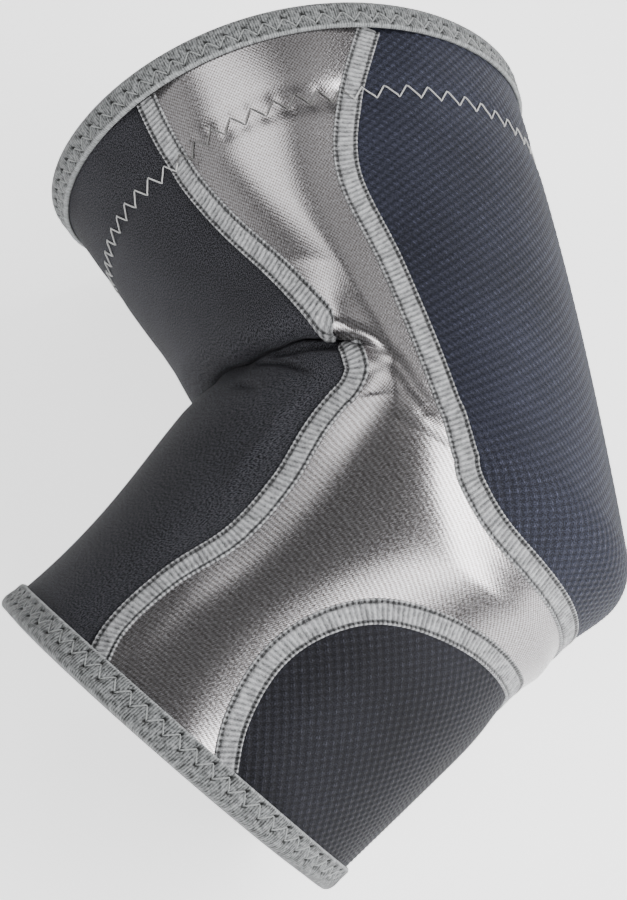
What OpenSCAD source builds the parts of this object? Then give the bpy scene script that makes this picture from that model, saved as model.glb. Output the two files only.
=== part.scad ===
// Elbow support sleeve, bent as on an arm and lying on its inner side.
// The elbow's hinge axis is the Z axis, the upper arm runs along +Y and the outer side faces +Z.

/* [Arm shape] */
// Angle between the upper arm and the forearm
bend_angle = 119; // [105:1:150]
// Front to back across the elbow, from the crook to the elbow tip
elbow_width = 106; // [85:0.5:125]
// Turn of that line away from the bend's bisector
elbow_turn = -13; // [-20:1:0]
// Hinge axis to the middle of the top edge
upper_length = 93; // [75:0.5:130]
// Front to back across the top edge
top_width = 111.5; // [90:0.5:130]
// Tilt of the top edge
top_tilt = -3; // [-10:0.5:6]
// Hinge axis to the middle of the bottom edge
forearm_length = 79; // [65:0.5:120]
// Front to back across the bottom edge
bottom_width = 92.5; // [75:0.5:110]
// Tilt of the bottom edge
bottom_tilt = 1; // [-6:0.5:8]
// Outer side to inner side at the top edge
top_height = 93; // [75:0.5:115]
// Outer side to inner side at the elbow
elbow_height = 90; // [75:0.5:110]
// Outer side to inner side at the bottom edge
bottom_height = 78; // [65:0.5:100]
// Rounding of the crook
crook_radius = 5; // [3:0.5:9]
// Rounding of the elbow tip
tip_radius = 12; // [8:0.5:18]
// Swell of the back of the upper arm
triceps_swell = 2.3; // [0:0.1:5]
// Swell of the front of the forearm
forearm_swell = 3; // [0:0.1:6]
// How far the top edge rises at the sides
top_bow = 6.5; // [0:0.5:12]
// How far the bottom edge reaches at the outer side
bottom_slant = 9; // [0:0.5:12]

/* [Cloth] */
// Thickness of the panels
wall = 3; // [2:0.1:4]
// Gap between neighbouring panels, under the seams
panel_gap = 0.4; // [0.3:0.05:0.6]
// How far the upper cloth rolls out over the crook fold
fold_roll = 1.2; // [0:0.1:2]
// How far the lower cloth tucks in under the crook fold
fold_tuck = 2.6; // [1.6:0.1:4]

/* [Seams] */
// Width of a flatlock seam
seam_width = 4.2; // [3:0.1:6]
// How far a seam stands above the cloth
seam_height = 0.7; // [0.4:0.05:1]
// How deep a seam bites into the cloth
seam_bite = 0.3; // [0.2:0.05:0.6]
// Thickness of a needle thread
needle_thread = 0.6; // [0.4:0.05:0.8]

/* [Edges] */
// Width of the binding on the outside
binding_width = 7; // [5:0.5:10]
// Thickness of the binding tape
tape = 1.2; // [0.8:0.1:1.6]
// Clearance between the binding and what it wraps
binding_gap = 0.3; // [0.2:0.05:0.5]
// Depth of the grip band below the top edge
grip_depth = 25; // [18:0.5:32]
// Thickness of the grip band
grip_thickness = 1; // [0.6:0.1:1.5]
// Length of one zigzag of the stitching
zigzag_pitch = 5; // [4:0.25:7]
// Width of the zigzag of the stitching
zigzag_width = 3.2; // [2:0.1:4]
// Thickness of the zigzag thread
zigzag_thread = 0.7; // [0.5:0.05:0.9]

/* [Hidden] */

knit_black = "#1d1e21";
satin_grey = "#8d8680";
waffle_blue = "#2b2f38";
thread_grey = "#a3a4a2";
binding_grey = "#85898b";
white_thread = "#e4e4e2";
grip_black = "#3a3c40";

// Corners of the side view, in the plane of the bend
forearm_turn = 90 + bend_angle;
crook = elbow_width / 2 * heading(90 + bend_angle / 2 + elbow_turn);
elbow_tip = -crook;
top_middle = [0, upper_length];
top_front = top_middle + top_width / 2 * heading(180 + top_tilt);
top_back = top_middle - top_width / 2 * heading(180 + top_tilt);
bottom_middle = forearm_length * heading(forearm_turn);
bottom_front = bottom_middle + bottom_width / 2 * heading(forearm_turn - 90 + bottom_tilt);
bottom_back = bottom_middle - bottom_width / 2 * heading(forearm_turn - 90 + bottom_tilt);

// Share of the length from the top edge to the bottom edge where the bend begins and ends
bend_start = 0.44;
bend_end = 0.56;
// Share of the length from each edge over which its bow or slant fades out
edge_fade = 0.4;
// Reach of the crook fold above and below it, in shares of the length
roll_reach = 0.05;
tuck_reach = 0.07;
// Degrees round from the back where the fold begins, and where it is full
fold_from = 82;
fold_full = 105;

// Seams by [share of the length, degrees round from the back], on the outer side.
// The inner side mirrors them.
fold_corner = [0.41, 103];
back_corner = [0.445, 81.5];
front_upper_line = [[0, 127], [0.09, 128], [0.17, 127], [0.25, 122], [0.33, 113], fold_corner];
front_lower_line = [fold_corner, [0.5, 106], [0.6, 107.5], [0.69, 104], [0.77, 104.5], [0.85, 110.5],
    [0.93, 111], [1, 103]];
back_upper_line = [[0, 65], [0.1, 79.5], [0.19, 87], [0.3, 83.5], back_corner];
back_lower_line = [back_corner, [0.53, 76.5], [0.592, 58], [0.613, 32], [0.617, 0]];
arch_line = [[1, 55], [0.93, 68.5], [0.855, 74], [0.79, 70], [0.743, 58.5], [0.713, 35], [0.698, 0]];
front_fold_line = [fold_corner, [0.45, 121], [0.5, 145], [0.5, 180]];

// Rows and columns of the cloth
upper_rows = 12;
lower_rows = 12;
tongue_rows = 10;
tongue_columns = 16;
side_columns = 6;
front_columns = 16;
arch_rows = 24;
arch_columns = 2 * (lower_rows + side_columns + tongue_rows + tongue_columns / 2 - arch_rows);
ring_steps = 56;

function heading(a) = [cos(a), sin(a)];
function mix(a, b, u) = a + (b - a) * u;
function limit(x) = max(0, min(1, x));
function ease(x) = limit(x) * limit(x) * (3 - 2 * limit(x));
function unit(v) = v / norm(v);
function left_of(v) = [-v[1], v[0]] / norm(v);

// Point at share u of a straight stretch that swells to its left
function stretch(a, b, swell, u) = mix(a, b, u) + left_of(b - a) * swell * 4 * u * (1 - u);

// Point at share t of a line that goes from a to b round a rounded corner c
function bent_line(a, c, b, radius, swell_a, swell_b, t) =
    let (
        to_a = unit(a - c),
        to_b = unit(b - c),
        half_angle = acos(to_a * to_b) / 2,
        start = c + to_a * radius / tan(half_angle),
        end = c + to_b * radius / tan(half_angle),
        middle = c + unit(to_a + to_b) * radius / sin(half_angle),
        u = (t - bend_start) / (bend_end - bend_start)
    )
    t < bend_start ? stretch(a, start, swell_a, t / bend_start) :
    t > bend_end ? stretch(end, b, swell_b, (t - bend_end) / (1 - bend_end)) :
    middle + radius * unit(unit(start - middle) * sin((1 - u) * (90 - half_angle) * 2)
        + unit(end - middle) * sin(u * (90 - half_angle) * 2));

function front_line(t) = bent_line(top_front, crook, bottom_front, crook_radius, 0, forearm_swell, t);
function back_line(t) = bent_line(top_back, elbow_tip, bottom_back, tip_radius, triceps_swell, 0, t);
function half_height(t) = t < 0.5 ? mix(top_height, elbow_height, ease(2 * t)) / 2 :
    mix(elbow_height, bottom_height, ease(2 * t - 1)) / 2;

// Share of the length where the crook fold crosses each direction round the arm
function fold_at(a) =
    let (
        side = a > 180 ? 360 - a : abs(a),
        line = concat([back_corner], front_fold_line),
        after = [for (i = [1:len(line) - 1]) if (side <= line[i][1] || i == len(line) - 1) i][0],
        u = limit((side - line[after - 1][1]) / (line[after][1] - line[after - 1][1]))
    )
    mix(line[after - 1][0], line[after][0], u);

// Lift of the cloth beside the crook fold
function fold_lift(t, a) =
    let (
        side = a > 180 ? 360 - a : abs(a),
        share = ease((side - fold_from) / (fold_full - fold_from)),
        above = (fold_at(a) - t) / roll_reach,
        below = (t - fold_at(a)) / tuck_reach
    )
    share * (above > 0 ? fold_roll * exp(-above * above) : -fold_tuck * exp(-below * below));

// Point on the sleeve at share t of its length, a degrees round from the back, lifted off the cloth
function skin(t, a, lift = 0, fold = undef) =
    let (
        f = front_line(t),
        k = back_line(t),
        half_width = norm(f - k) / 2,
        forward = (f - k) / (2 * half_width),
        tall = half_height(t),
        off = lift + (is_undef(fold) ? fold_lift(t, a) : fold),
        rise = heading(90) * top_bow * pow(sin(a), 2) * pow(max(0, 1 - t / edge_fade), 1.5),
        reach = heading(forearm_turn) * bottom_slant * sin(a)
            * pow(max(0, (t - 1 + edge_fade) / edge_fade), 1.5),
        flat = (f + k) / 2 - forward * (half_width + off) * cos(a) + rise + reach
    )
    [flat[0], flat[1], tape + binding_gap + tall + (tall + off) * sin(a)];

function at(p, lift = 0, fold = undef) = skin(p[0], p[1], lift, fold);

// Smooth line through points, cut into n steps
function through(points, n) = [
    for (i = [0:n])
        let (
            last = len(points) - 1,
            x = i * last / n,
            k = min(floor(x), last - 1),
            u = x - k,
            p1 = points[k],
            p2 = points[k + 1],
            p0 = k == 0 ? 2 * p1 - p2 : points[k - 1],
            p3 = k == last - 1 ? 2 * p2 - p1 : points[k + 2]
        )
        (2 * p1 + (p2 - p0) * u + (2 * p0 - 5 * p1 + 4 * p2 - p3) * u * u
            + (3 * p1 - p0 - 3 * p2 + p3) * u * u * u) / 2
];

function reversed(list) = [for (i = [len(list) - 1:-1:0]) list[i]];
function tail(list) = [for (i = [1:1:len(list) - 1]) list[i]];
function part_of(list, from, to) = [for (i = [from:to]) list[i]];

// The other side of a line, across the back (a turns to -a) or across the front (a turns to 360 - a)
function across_back(list) = [for (p = list) [p[0], -p[1]]];
function across_front(list) = [for (p = list) [p[0], 360 - p[1]]];
function whole_back(list) = concat(list, tail(reversed(across_back(list))));
function whole_front(list) = concat(list, tail(reversed(across_front(list))));
function even(a, b, n) = [for (i = [0:n]) mix(a, b, i / n)];

// Grid of points that fills the space between four border lines
function filled(top, bottom, left, right) =
    let (rows = len(left) - 1, columns = len(top) - 1)
    [for (i = [0:rows]) [for (j = [0:columns])
        let (v = i / rows, u = j / columns)
        mix(top[j], bottom[j], v) + mix(left[i], right[i], u)
            - mix(mix(top[0], top[columns], u), mix(bottom[0], bottom[columns], u), v)
    ]];

// Grid between two border lines that run side by side
function ruled(left, right, columns) =
    [for (i = [0:len(left) - 1]) [for (j = [0:columns]) mix(left[i], right[i], j / columns)]];

// 1 where a grid's columns run towards the back as its rows run down the outer side, otherwise -1
function turn_of(grid) =
    let (
        i = floor(len(grid) / 2),
        j = floor(len(grid[0]) / 2),
        p = grid[i][j],
        down = at(grid[i + 1][j]) - at(p),
        along = at(grid[i][j + 1]) - at(p)
    )
    cross(down, along) * (at(p, 1) - at(p)) > 0 ? 1 : -1;

// Grid with its border drawn in by half the gap between panels
function drawn_in(grid) =
    let (
        rows = len(grid) - 1,
        columns = len(grid[0]) - 1,
        in = turn_of(grid) * panel_gap / 2
    )
    [for (i = [0:rows]) [for (j = [0:columns])
        let (
            p = grid[i][j],
            up = grid[max(0, i - 1)][j],
            down = grid[min(rows, i + 1)][j],
            before = grid[i][max(0, j - 1)],
            after = grid[i][min(columns, j + 1)],
            from_side = j > 0 && j < columns ? p : beside(p, up, down, j == 0 ? in : -in),
            from_end = i > 0 && i < rows ? p : beside(p, before, after, i == 0 ? -in : in)
        )
        from_side + from_end - p
    ]];

// Point d mm beside the line from a over p to b on the cloth, to its left
function beside(p, a, b, d) =
    let (
        step = 0.001,
        along = (skin(p[0] + step, p[1], 0, 0) - skin(p[0] - step, p[1], 0, 0)) / (2 * step),
        round = (skin(p[0], p[1] + 1, 0, 0) - skin(p[0], p[1] - 1, 0, 0)) / 2,
        to_p = unit(at(a == p ? b : p, 0, 0) - at(a, 0, 0)),
        from_p = unit(at(b, 0, 0) - at(b == p ? a : p, 0, 0)),
        way = unit(to_p + from_p),
        side = unit(cross(cross(round, along), way)) * d / (way * to_p),
        e = along * along,
        f = along * round,
        g = round * round,
        x = side * along,
        y = side * round
    )
    p + [g * x - f * y, e * y - f * x] / (e * g - f * f);

// Line d mm beside another line on the cloth
function line_beside(line, d) = [
    for (i = [0:len(line) - 1])
        beside(line[i], line[max(0, i - 1)], line[min(len(line) - 1, i + 1)], d)
];

// Seam lines as they are sewn
front_upper = through(front_upper_line, upper_rows);
front_lower = through(front_lower_line, lower_rows);
back_upper = through(back_upper_line, upper_rows);
back_lower = through(back_lower_line, tongue_rows + tongue_columns / 2);
arch = through(arch_line, arch_rows + arch_columns / 2);
front_fold = whole_front(through(front_fold_line, front_columns / 2));
side_fold = even(fold_corner, back_corner, side_columns);
tongue_side = concat(back_upper, tail(part_of(back_lower, 0, tongue_rows)));
tongue_end = whole_back(part_of(back_lower, tongue_rows, len(back_lower) - 1));
tongue_line = whole_back(concat(back_upper, tail(back_lower)));
arch_side = part_of(arch, 0, arch_rows);
arch_top = whole_back(part_of(arch, arch_rows, len(arch) - 1));

front_upper_grid = filled(
    even(front_upper[0], across_front(front_upper)[0], front_columns),
    front_fold, front_upper, across_front(front_upper));
front_lower_grid = filled(
    front_fold, even(front_lower[lower_rows], across_front(front_lower)[lower_rows], front_columns),
    front_lower, across_front(front_lower));
side_upper_grid = ruled(back_upper, front_upper, side_columns);
side_lower_grid = ruled(
    whole_back(arch),
    whole_back(concat(reversed(front_lower), tail(side_fold), tail(back_lower))), side_columns);
tongue_grid = filled(
    even(tongue_side[0], across_back(tongue_side)[0], tongue_columns),
    tongue_end, tongue_side, across_back(tongue_side));
arch_grid = filled(
    arch_top, even(arch_side[0], across_back(arch_side)[0], arch_columns),
    reversed(arch_side), reversed(across_back(arch_side)));

// Grid kept on one side of the crook fold, by a small step off it
fold_step = 0.0005;
function on_fold(a) = (a > 180 ? 360 - a : abs(a)) > fold_from;
function above_fold(grid) = [for (row = grid) [for (p = row)
    on_fold(p[1]) ? [min(p[0], fold_at(p[1]) - fold_step), p[1]] : p]];
function below_fold(grid) = [for (row = grid) [for (p = row)
    on_fold(p[1]) ? [max(p[0], fold_at(p[1]) + fold_step), p[1]] : p]];

// Closed shell over a grid, from one lift to another
module cloth(grid, from, to) {
    rows = len(grid) - 1;
    columns = len(grid[0]) - 1;
    turned = turn_of(grid) > 0;
    count = (rows + 1) * (columns + 1);
    points = [for (lift = [from, to]) for (row = grid) for (p = row) at(p, lift)];
    function under(i, j) = i * (columns + 1) + j;
    function over(i, j) = count + under(i, j);
    faces = concat(
        [for (i = [0:rows - 1]) for (j = [0:columns - 1]) for (f = [
            [over(i, j), over(i + 1, j), over(i + 1, j + 1)],
            [over(i, j), over(i + 1, j + 1), over(i, j + 1)],
            [under(i, j), under(i + 1, j + 1), under(i + 1, j)],
            [under(i, j), under(i, j + 1), under(i + 1, j + 1)]]) f],
        [for (i = [0:rows - 1]) for (f = [
            [under(i, 0), under(i + 1, 0), over(i + 1, 0)],
            [under(i, 0), over(i + 1, 0), over(i, 0)],
            [under(i, columns), over(i + 1, columns), under(i + 1, columns)],
            [under(i, columns), over(i, columns), over(i + 1, columns)]]) f],
        [for (j = [0:columns - 1]) for (f = [
            [under(0, j), over(0, j), over(0, j + 1)],
            [under(0, j), over(0, j + 1), under(0, j + 1)],
            [under(rows, j), over(rows, j + 1), over(rows, j)],
            [under(rows, j), under(rows, j + 1), over(rows, j + 1)]]) f]);
    polyhedron(points, turned ? [for (f = faces) reversed(f)] : faces);
}

// Closed tube of four sides along points, joined end to end where it is a ring
module thread(points, size, ring = false) {
    n = len(points);
    inside = [0, 0, tape + binding_gap + elbow_height / 2];
    corners = [for (i = [0:n - 1])
        let (
            before = points[ring ? (i + n - 1) % n : max(0, i - 1)],
            after = points[ring ? (i + 1) % n : min(n - 1, i + 1)],
            way = unit(after - before),
            side = unit(cross(way, points[i] - inside)),
            up = cross(side, way)
        )
        for (d = [side, up, -side, -up]) points[i] + d * size / 2];
    spans = ring ? n - 1 : n - 2;
    walls = [for (i = [0:spans]) for (k = [0:3])
        let (a = 4 * i, b = 4 * ((i + 1) % n), m = (k + 1) % 4)
        for (f = [[a + k, a + m, b + m], [a + k, b + m, b + k]]) f];
    ends = ring ? [] : [[2, 1, 0], [3, 2, 0],
        [for (k = [0, 1, 2]) 4 * n - 4 + k], [for (k = [0, 2, 3]) 4 * n - 4 + k]];
    polyhedron(corners, concat(walls, ends));
}

// Share of the length d mm from an edge of the sleeve; edge 0 is the top and 1 the bottom
function from_edge(edge, a, d) =
    let (near = edge == 0 ? 0.02 : 0.98)
    edge + (near - edge) * d / norm(skin(near, a, 0, 0) - skin(edge, a, 0, 0));

// Ring round an edge, from a closed outline of [distance from the edge, lift] points
module edge_ring(edge, outline) {
    m = len(outline);
    points = [for (i = [0:ring_steps - 1]) for (q = outline)
        let (a = 360 * i / ring_steps)
        skin(from_edge(edge, a, q[0]), a, q[1], 0)];
    faces = [for (i = [0:ring_steps - 1]) for (k = [0:m - 1])
        let (a = m * i, b = m * ((i + 1) % ring_steps), n = (k + 1) % m)
        for (f = [[a + k, a + n, b + n], [a + k, b + n, b + k]]) f];
    polyhedron(points, edge == 0 ? [for (f = faces) reversed(f)] : faces);
}

// Tape folded over an edge of the given thickness, pressed down along the middle by its stitching
module folded_tape(edge, thickness) {
    g = binding_gap;
    trough = (zigzag_width + zigzag_thread) / 2;
    middle = binding_width / 2;
    edge_ring(edge, [
        [binding_width, g], [binding_width, g + tape], [middle + trough, g + stitch_lift],
        [middle - trough, g + stitch_lift], [0.5 * tape, g + tape], [-0.6 * tape - g, g + 0.4 * tape],
        [-tape - g, -0.5 * tape], [-tape - g, 0.5 * tape - thickness],
        [-0.6 * tape - g, -thickness - g - 0.4 * tape], [0.5 * tape, -thickness - g - tape],
        [binding_width, -thickness - g - tape], [binding_width, -thickness - g],
        [-g, -thickness - g], [-g, g]
    ]);
}

// Height of the stitching's middle above the inside of the tape, level with the tape's edges on top
stitch_lift = tape - zigzag_thread / 2;

// Zigzag of thread round the sleeve, at a distance from an edge
module zigzag(edge, distance, lift) {
    girth = PI * (edge == 0 ? top_width + top_height : bottom_width + bottom_height) / 2;
    count = round(girth / zigzag_pitch);
    thread([for (i = [0:2 * count - 1])
        let (a = 180 * i / count, d = distance + (i % 2 - 0.5) * (zigzag_width - zigzag_thread))
        skin(from_edge(edge, a, d), a, lift, 0)], zigzag_thread, true);
}

// Line cut off where the bindings begin
function between_bindings(line) =
    let (
        top = [for (p = line) from_edge(0, p[1], binding_width + panel_gap)],
        bottom = [for (p = line) from_edge(1, p[1], binding_width + panel_gap)],
        inside = [for (i = [0:len(line) - 1]) if (line[i][0] > top[i] && line[i][0] < bottom[i]) i],
        first = inside[0],
        last = inside[len(inside) - 1],
        start = first == 0 ? [] : [edge_point(line[first - 1], line[first])],
        end = last == len(line) - 1 ? [] : [edge_point(line[last + 1], line[last])],
        kept = part_of(line, first + len(start), last - len(end))
    )
    concat(start, kept, end);

// Point moved out from under a binding
function off_bindings(p) = [max(from_edge(0, p[1], binding_width + panel_gap),
    min(from_edge(1, p[1], binding_width + panel_gap), p[0])), p[1]];

// Point on the way from p under a binding to q outside it, where that binding ends
function edge_point(p, q) =
    let (
        end = from_edge(p[0] < 0.5 ? 0 : 1, p[1], binding_width + panel_gap),
        u = (end - p[0]) / (q[0] - p[0])
    )
    [end, mix(p[1], q[1], u)];

// Flatlock seam that lies on the left of a line, and its two needle threads.
// The fold keeps the upper seams above it and the lower ones below it.
function beside_fold(grid, upper) = upper ? above_fold(grid) : below_fold(grid);
function seam_grid(line) =
    let (
        path = between_bindings(line),
        lines = [for (d = [0, 0.5, 1]) line_beside(path, panel_gap + d * seam_width)]
    )
    [for (i = [0:len(path) - 1]) [for (row = lines) off_bindings(row[i])]];
module seam(line, upper) {
    cloth(beside_fold(seam_grid(line), upper), -seam_bite, seam_height);
}
module needle_rows(line, upper) {
    path = between_bindings(line);
    for (d = [needle_thread, seam_width - needle_thread]) {
        row = tail(reversed(tail(line_beside(path, panel_gap + d))));
        kept = beside_fold([[for (p = row) off_bindings(p)]], upper)[0];
        thread([for (p = kept) at(p, seam_height)], needle_thread);
    }
}

module front_panel_upper() { color(knit_black) cloth(above_fold(drawn_in(front_upper_grid)), -wall, 0); }
module front_panel_lower() { color(knit_black) cloth(below_fold(drawn_in(front_lower_grid)), -wall, 0); }
module side_panel_upper_outer() { color(satin_grey) cloth(drawn_in(side_upper_grid), -wall, 0); }
module side_panel_upper_inner() {
    color(satin_grey) cloth([for (row = drawn_in(side_upper_grid)) across_back(row)], -wall, 0);
}
module side_panel_lower() { color(satin_grey) cloth(drawn_in(side_lower_grid), -wall, 0); }
module elbow_back_panel() { color(waffle_blue) cloth(drawn_in(tongue_grid), -wall, 0); }
module forearm_back_panel() { color(waffle_blue) cloth(drawn_in(arch_grid), -wall, 0); }

module front_seam_upper_outer() { color(thread_grey) seam(front_upper, true); }
module front_seam_upper_inner() { color(thread_grey) seam(reversed(across_front(front_upper)), true); }
module front_seam_lower_outer() { color(thread_grey) seam(front_lower, false); }
module front_seam_lower_inner() { color(thread_grey) seam(reversed(across_front(front_lower)), false); }
module elbow_back_seam() { color(thread_grey) seam(tongue_line, true); }
module forearm_back_seam() { color(thread_grey) seam(whole_back(arch), false); }

module front_needle_rows_upper() {
    color(thread_grey) {
        needle_rows(front_upper, true);
        needle_rows(reversed(across_front(front_upper)), true);
    }
}
module front_needle_rows_lower() {
    color(thread_grey) {
        needle_rows(front_lower, false);
        needle_rows(reversed(across_front(front_lower)), false);
    }
}
module elbow_back_needle_rows() { color(thread_grey) needle_rows(tongue_line, true); }
module forearm_back_needle_rows() { color(thread_grey) needle_rows(whole_back(arch), false); }

module top_binding() { color(binding_grey) folded_tape(0, wall + grip_thickness + binding_gap); }
module top_binding_stitching() {
    color(thread_grey) zigzag(0, binding_width / 2, binding_gap + stitch_lift);
}
module bottom_binding() { color(binding_grey) folded_tape(1, wall); }
module bottom_binding_stitching() {
    color(thread_grey) zigzag(1, binding_width / 2, binding_gap + stitch_lift);
}
module grip_band() {
    color(grip_black) edge_ring(0, [
        [0, -wall - binding_gap], [0, -wall - binding_gap - grip_thickness],
        [grip_depth, -wall - binding_gap - grip_thickness], [grip_depth, -wall - binding_gap]
    ]);
}
module grip_band_stitching() { color(white_thread) zigzag(0, grip_depth - zigzag_width / 2, 0); }

front_panel_upper();
front_panel_lower();
side_panel_upper_outer();
side_panel_upper_inner();
side_panel_lower();
elbow_back_panel();
forearm_back_panel();
front_seam_upper_outer();
front_seam_upper_inner();
front_seam_lower_outer();
front_seam_lower_inner();
elbow_back_seam();
forearm_back_seam();
front_needle_rows_upper();
front_needle_rows_lower();
elbow_back_needle_rows();
forearm_back_needle_rows();
top_binding();
top_binding_stitching();
bottom_binding();
bottom_binding_stitching();
grip_band();
grip_band_stitching();
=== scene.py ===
import math

import bmesh
import bpy
import numpy as np
from mathutils import Matrix, Vector
from mathutils.kdtree import KDTree


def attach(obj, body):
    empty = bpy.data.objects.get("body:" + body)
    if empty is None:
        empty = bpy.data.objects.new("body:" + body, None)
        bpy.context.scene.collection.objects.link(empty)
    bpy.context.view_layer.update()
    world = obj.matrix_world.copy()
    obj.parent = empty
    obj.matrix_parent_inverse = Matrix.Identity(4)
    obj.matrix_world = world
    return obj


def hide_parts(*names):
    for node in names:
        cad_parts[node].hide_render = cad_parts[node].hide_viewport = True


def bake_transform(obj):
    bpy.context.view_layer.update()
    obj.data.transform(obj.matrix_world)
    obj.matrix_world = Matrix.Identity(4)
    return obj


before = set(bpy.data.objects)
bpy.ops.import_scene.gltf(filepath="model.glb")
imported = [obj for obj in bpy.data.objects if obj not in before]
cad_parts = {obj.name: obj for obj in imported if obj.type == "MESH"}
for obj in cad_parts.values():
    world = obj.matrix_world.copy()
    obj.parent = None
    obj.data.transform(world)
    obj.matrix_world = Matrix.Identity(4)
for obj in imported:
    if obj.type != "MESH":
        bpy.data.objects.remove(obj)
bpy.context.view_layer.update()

mm = 0.001
mapScale = 0.01  # units of a piece's map for a mm

shot = {
    "azimuth": -17.7,
    "elevation": 65.4,
    "lens": 100,
    "distance": 0.5625,
    "target": (-0.0172, 0.0164, 0.0455),
}


def placeCamera():
    a, e = math.radians(shot["azimuth"]), math.radians(shot["elevation"])
    back = Vector((math.sin(a) * math.cos(e), -math.cos(a) * math.cos(e), math.sin(e)))
    right = Vector((math.cos(a), math.sin(a), 0))
    up = back.cross(right)
    data = bpy.data.cameras.new("camera")
    data.lens = shot["lens"]
    data.sensor_width = 36
    data.clip_start = 0.01
    camera = bpy.data.objects.new("camera", data)
    camera.matrix_world = Matrix.Translation(Vector(shot["target"]) + back * shot["distance"]) @ Matrix(
        (right, up, back)).transposed().to_4x4()
    bpy.context.collection.objects.link(camera)
    bpy.context.scene.camera = camera
    return back, right, up


viewBack, viewRight, viewUp = placeCamera()
print("camera placed")

# the arm inside the sleeve, in mm and degrees, as the solids have it
arm = {
    "bendAngle": 119, "elbowWidth": 106, "elbowTurn": -13,
    "upperLength": 93, "topWidth": 111.5, "topTilt": -3,
    "forearmLength": 79, "bottomWidth": 92.5, "bottomTilt": 1,
    "topHeight": 93, "elbowHeight": 90, "bottomHeight": 78,
    "crookRadius": 5, "tipRadius": 12, "tricepsSwell": 2.3, "forearmSwell": 3,
    "topBow": 6.5, "bottomSlant": 9,
    "bendStart": 0.44, "bendEnd": 0.56, "edgeFade": 0.4, "floorGap": 1.5,
}


def heading(a):
    return np.array([math.cos(math.radians(a)), math.sin(math.radians(a))])


def unit(v):
    return v / np.linalg.norm(v, axis=-1, keepdims=True)


def ease(x):
    x = np.clip(x, 0, 1)
    return x * x * (3 - 2 * x)


def bell(x, reach):
    return np.exp(-(x / reach) ** 2)


def running(points):
    # length of a line up to each of its points
    return np.concatenate([[0], np.cumsum(np.linalg.norm(np.diff(points, axis=0), axis=1))])


def stretch(a, b, swell, u):
    d = unit(b - a)
    left = np.array([-d[1], d[0]])
    return a + (b - a) * u[:, None] + left * (swell * 4 * u * (1 - u))[:, None]


def bentLine(a, c, b, radius, swellA, swellB, t):
    toA, toB = unit(a - c), unit(b - c)
    half = math.acos(toA @ toB) / 2
    start, end = c + toA * radius / math.tan(half), c + toB * radius / math.tan(half)
    middle = c + unit(toA + toB) * radius / math.sin(half)
    u = np.clip((t - arm["bendStart"]) / (arm["bendEnd"] - arm["bendStart"]), 0, 1)[:, None]
    turn = math.pi - 2 * half
    arc = middle + radius * unit(unit(start - middle) * np.sin((1 - u) * turn)
                                 + unit(end - middle) * np.sin(u * turn))
    before = stretch(a, start, swellA, t / arm["bendStart"])
    after = stretch(end, b, swellB, (t - arm["bendEnd"]) / (1 - arm["bendEnd"]))
    return np.where((t < arm["bendStart"])[:, None], before,
                    np.where((t > arm["bendEnd"])[:, None], after, arc))


forearmTurn = 90 + arm["bendAngle"]
crook = arm["elbowWidth"] / 2 * heading(90 + arm["bendAngle"] / 2 + arm["elbowTurn"])
topMiddle = np.array([0, arm["upperLength"]])
topReach = arm["topWidth"] / 2 * heading(180 + arm["topTilt"])
bottomMiddle = arm["forearmLength"] * heading(forearmTurn)
bottomReach = arm["bottomWidth"] / 2 * heading(forearmTurn - 90 + arm["bottomTilt"])


def skin(t, a, lift=0.0):
    # point of the sleeve at share t of its length, a degrees round from the back, in mm
    t, a, lift = (np.atleast_1d(np.asarray(x, float)) for x in (t, a, lift))
    t, a, lift = np.broadcast_arrays(t, a, lift)
    f = bentLine(topMiddle + topReach, crook, bottomMiddle + bottomReach, arm["crookRadius"], 0,
                 arm["forearmSwell"], t)
    k = bentLine(topMiddle - topReach, -crook, bottomMiddle - bottomReach, arm["tipRadius"],
                 arm["tricepsSwell"], 0, t)
    halfWidth = np.linalg.norm(f - k, axis=1) / 2
    forward = (f - k) / (2 * halfWidth[:, None])
    tall = np.where(t < 0.5, arm["topHeight"] + (arm["elbowHeight"] - arm["topHeight"]) * ease(2 * t),
                    arm["elbowHeight"] + (arm["bottomHeight"] - arm["elbowHeight"]) * ease(2 * t - 1)) / 2
    r = np.radians(a)
    rise = arm["topBow"] * np.sin(r) ** 2 * np.maximum(0, 1 - t / arm["edgeFade"]) ** 1.5
    reach = arm["bottomSlant"] * np.sin(r) * np.maximum(0, (t - 1) / arm["edgeFade"] + 1) ** 1.5
    flat = ((f + k) / 2 - forward * ((halfWidth + lift) * np.cos(r))[:, None]
            + heading(90) * rise[:, None] + heading(forearmTurn) * reach[:, None])
    return np.column_stack([flat, arm["floorGap"] + tall + (tall + lift) * np.sin(r)])


def through(points, n):
    # smooth line through points, cut into n steps
    points = np.array(points, float)
    last = len(points) - 1
    x = np.linspace(0, last, n + 1)
    k = np.minimum(x.astype(int), last - 1)
    u = (x - k)[:, None]
    full = np.vstack([2 * points[0] - points[1], points, 2 * points[-1] - points[-2]])
    p0, p1, p2, p3 = (full[k + i] for i in range(4))
    return (2 * p1 + (p2 - p0) * u + (2 * p0 - 5 * p1 + 4 * p2 - p3) * u ** 2
            + (3 * p1 - p0 - 3 * p2 + p3) * u ** 3) / 2


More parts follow.
